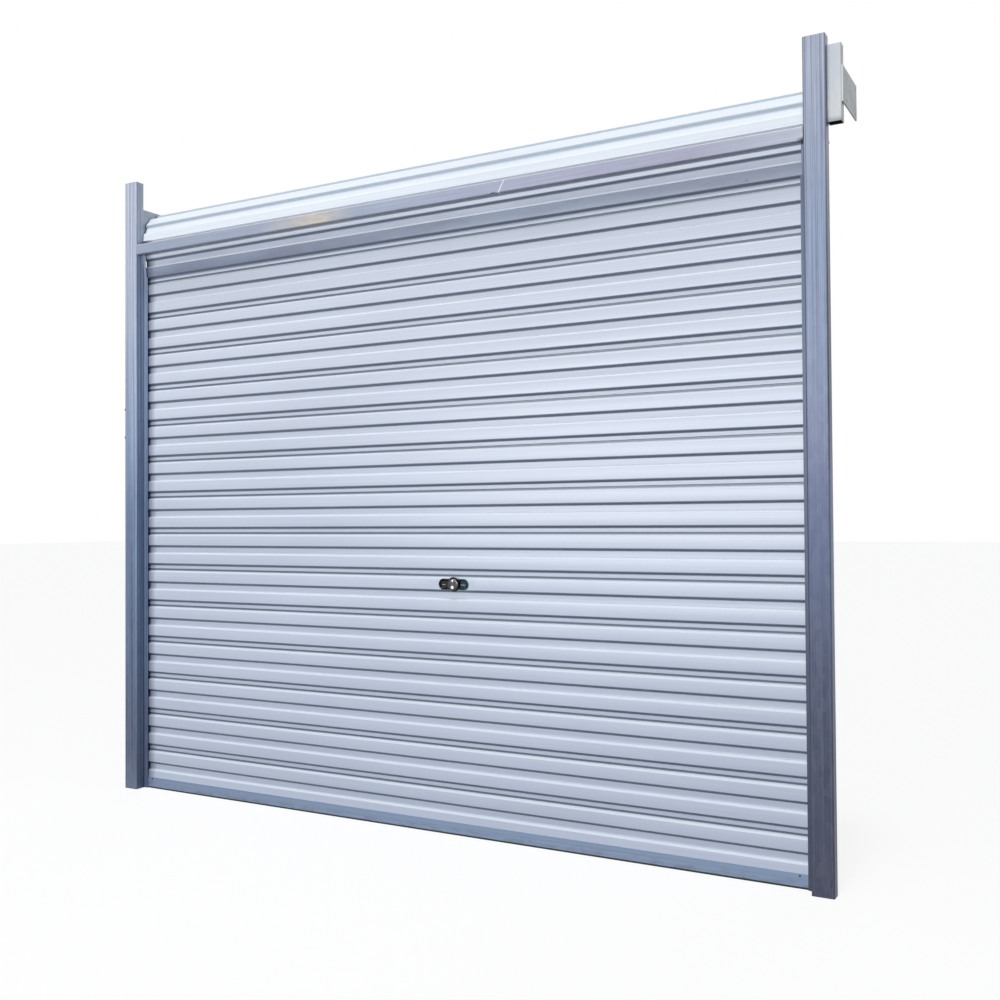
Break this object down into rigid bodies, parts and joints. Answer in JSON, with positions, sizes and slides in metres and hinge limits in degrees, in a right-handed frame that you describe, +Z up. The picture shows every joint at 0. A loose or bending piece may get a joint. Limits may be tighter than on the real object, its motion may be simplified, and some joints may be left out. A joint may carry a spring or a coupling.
{
  "type": "exterior roller shutter",
  "caption": "Ribbed sheet-steel roller door between two hollow posts, with guides, header bar, wound roll on a spring drum, bottom rail and turn-knob lock.",
  "frame": {"origin": "floor level, midway between the posts' outer sides, in the plane of the posts' front faces", "axes": "+Z up, +X to the right seen from outside, +Y inward, from the outside to the roll behind the header bar"},
  "size_m": [3.5045, 0.3342, 3],
  "materials": {
    "galvanised_post": "spangled zinc coat with upright streaks",
    "galvanised_header": "dull zinc coat",
    "curtain_coat": "satin pale blue-white coil coat",
    "guide_steel": "dull zinc coat",
    "wear_plastic": "matt",
    "bracket_steel": "dull zinc coat",
    "axle_steel": "bare tube, dull",
    "wheel_paint": "semi-gloss",
    "bush_plastic": "waxy",
    "spring_steel": "oiled",
    "zinc_fastener": "bright zinc",
    "black_fastener": "black oxide",
    "rail_aluminium": "mill finish, dulled",
    "seal_rubber": "matt",
    "cap_plastic": "matt",
    "lock_plastic": "glossy",
    "knob_coat": "glossy dark coat on cast metal",
    "key_metal": "bright",
    "lock_steel": "bright zinc",
    "stub_paint": "satin cream coat",
    "plate_paint": "dull greenish-grey coat"
  },
  "bodies": {
    "frame": {"left_post": "galvanised_post", "right_post": "galvanised_post", "left_fixing_studs": "black_fastener", "header_bar": "galvanised_header", "left_guide": "guide_steel", "right_guide": "guide_steel", "left_wear_strip": "wear_plastic", "right_wear_strip": "wear_plastic", "left_bracket": "bracket_steel", "right_bracket": "bracket_steel", "left_u_bolt": "zinc_fastener", "right_u_bolt": "zinc_fastener", "u_bolt_nuts": "zinc_fastener", "axle": "axle_steel", "frame_screws": "zinc_fastener", "left_spring": "spring_steel", "right_spring": "spring_steel", "left_spring_collar": "wheel_paint", "right_spring_collar": "wheel_paint", "curtain_strip_01": "curtain_coat", "left_lock_keeper": "lock_steel", "right_lock_keeper": "lock_steel", "operator_stub": "stub_paint", "operator_plate": "plate_paint"},
    "drum": {"left_drum_wheel": "wheel_paint", "centre_drum_wheel": "wheel_paint", "right_drum_wheel": "wheel_paint", "drum_bushes": "bush_plastic", "wound_curtain": "curtain_coat"},
    "rail": {"bottom_rail": "rail_aluminium", "bottom_seal": "seal_rubber", "left_rail_cap": "cap_plastic", "right_rail_cap": "cap_plastic", "rail_screws": "black_fastener", "lift_handle": "zinc_fastener"},
    "strip_02": {"curtain_strip_02": "curtain_coat"},
    "strip_03": {"curtain_strip_03": "curtain_coat"},
    "strip_04": {"curtain_strip_04": "curtain_coat"},
    "strip_05": {"curtain_strip_05": "curtain_coat"},
    "strip_06": {"curtain_strip_06": "curtain_coat"},
    "strip_07": {"curtain_strip_07": "curtain_coat"},
    "strip_08": {"curtain_strip_08": "curtain_coat"},
    "strip_09": {"curtain_strip_09": "curtain_coat"},
    "strip_10": {"curtain_strip_10": "curtain_coat", "lock_dish": "lock_plastic", "lock_case": "lock_steel", "bar_straps": "lock_steel"},
    "strip_11": {"curtain_strip_11": "curtain_coat"},
    "strip_12": {"curtain_strip_12": "curtain_coat"},
    "strip_13": {"curtain_strip_13": "curtain_coat"},
    "strip_14": {"curtain_strip_14": "curtain_coat"},
    "strip_15": {"curtain_strip_15": "curtain_coat"},
    "knob": {"lock_knob": "knob_coat", "lock_cam": "lock_steel"},
    "key": {"key_cylinder": "key_metal"},
    "left_bar": {"left_lock_bar": "lock_steel"},
    "right_bar": {"right_lock_bar": "lock_steel"}
  },
  "joints": [
    {"name": "curtain_lift", "type": "slide", "parent": "frame", "child": "rail", "axis": [0, 0, 1], "range_m": [0, 2.355], "deforming": ["curtain_strip_01", "curtain_strip_02", "curtain_strip_03", "curtain_strip_04", "curtain_strip_05", "curtain_strip_06", "curtain_strip_07", "curtain_strip_08", "curtain_strip_09", "curtain_strip_11", "curtain_strip_12", "curtain_strip_13", "curtain_strip_14", "curtain_strip_15"]},
    {"name": "strip_02_lift", "type": "slide", "parent": "frame", "child": "strip_02", "axis": [0, 0, 1], "range_m": [0, 0.1818]},
    {"name": "strip_03_lift", "type": "slide", "parent": "frame", "child": "strip_03", "axis": [0, 0, 1], "range_m": [0, 0.3512]},
    {"name": "strip_04_lift", "type": "slide", "parent": "frame", "child": "strip_04", "axis": [0, 0, 1], "range_m": [0, 0.5206]},
    {"name": "strip_05_lift", "type": "slide", "parent": "frame", "child": "strip_05", "axis": [0, 0, 1], "range_m": [0, 0.69]},
    {"name": "strip_06_lift", "type": "slide", "parent": "frame", "child": "strip_06", "axis": [0, 0, 1], "range_m": [0, 0.8594]},
    {"name": "strip_07_lift", "type": "slide", "parent": "frame", "child": "strip_07", "axis": [0, 0, 1], "range_m": [0, 1.0288]},
    {"name": "strip_08_lift", "type": "slide", "parent": "frame", "child": "strip_08", "axis": [0, 0, 1], "range_m": [0, 1.1982]},
    {"name": "strip_09_lift", "type": "slide", "parent": "frame", "child": "strip_09", "axis": [0, 0, 1], "range_m": [0, 1.3676]},
    {"name": "strip_10_lift", "type": "slide", "parent": "frame", "child": "strip_10", "axis": [0, 0, 1], "range_m": [0, 1.537]},
    {"name": "strip_11_lift", "type": "slide", "parent": "frame", "child": "strip_11", "axis": [0, 0, 1], "range_m": [0, 1.537]},
    {"name": "strip_12_lift", "type": "slide", "parent": "frame", "child": "strip_12", "axis": [0, 0, 1], "range_m": [0, 1.7063]},
    {"name": "strip_13_lift", "type": "slide", "parent": "frame", "child": "strip_13", "axis": [0, 0, 1], "range_m": [0, 1.8756]},
    {"name": "strip_14_lift", "type": "slide", "parent": "frame", "child": "strip_14", "axis": [0, 0, 1], "range_m": [0, 2.0449]},
    {"name": "strip_15_lift", "type": "slide", "parent": "frame", "child": "strip_15", "axis": [0, 0, 1], "range_m": [0, 2.2142]},
    {"name": "drum_turn", "type": "hinge", "parent": "frame", "child": "drum", "pos_m": [0, 0.192, 2.723], "axis": [1, 0, 0], "range_deg": [-937.5, 0]},
    {"name": "handle_turn", "type": "hinge", "parent": "strip_10", "child": "knob", "pos_m": [0.157, 0.055, 1.042], "axis": [0, 1, 0], "range_deg": [0, 90]},
    {"name": "key_turn", "type": "hinge", "parent": "knob", "child": "key", "pos_m": [0.157, 0.05, 1.03], "axis": [0, 1, 0], "range_deg": [0, 90]},
    {"name": "left_bar_slide", "type": "slide", "parent": "strip_10", "child": "left_bar", "axis": [-1, 0, 0], "range_m": [0, 0.0227]},
    {"name": "right_bar_slide", "type": "slide", "parent": "strip_10", "child": "right_bar", "axis": [1, 0, 0], "range_m": [0, 0.0227]}
  ],
  "couplings": [
    {"joint": "strip_02_lift", "follows": "curtain_lift", "ratio": 0.076984},
    {"joint": "strip_03_lift", "follows": "curtain_lift", "ratio": 0.14892},
    {"joint": "strip_04_lift", "follows": "curtain_lift", "ratio": 0.22085},
    {"joint": "strip_05_lift", "follows": "curtain_lift", "ratio": 0.29278},
    {"joint": "strip_06_lift", "follows": "curtain_lift", "ratio": 0.36471},
    {"joint": "strip_07_lift", "follows": "curtain_lift", "ratio": 0.43665},
    {"joint": "strip_08_lift", "follows": "curtain_lift", "ratio": 0.50858},
    {"joint": "strip_09_lift", "follows": "curtain_lift", "ratio": 0.58051},
    {"joint": "strip_10_lift", "follows": "curtain_lift", "ratio": 0.65244},
    {"joint": "strip_11_lift", "follows": "curtain_lift", "ratio": 0.65244},
    {"joint": "strip_12_lift", "follows": "curtain_lift", "ratio": 0.72434},
    {"joint": "strip_13_lift", "follows": "curtain_lift", "ratio": 0.79623},
    {"joint": "strip_14_lift", "follows": "curtain_lift", "ratio": 0.86813},
    {"joint": "strip_15_lift", "follows": "curtain_lift", "ratio": 0.94002},
    {"joint": "drum_turn", "follows": "curtain_lift", "rad_per_m": -6.9444},
    {"joint": "left_bar_slide", "follows": "handle_turn", "m_per_rad": 0.014405},
    {"joint": "right_bar_slide", "follows": "handle_turn", "m_per_rad": 0.014405}
  ]
}
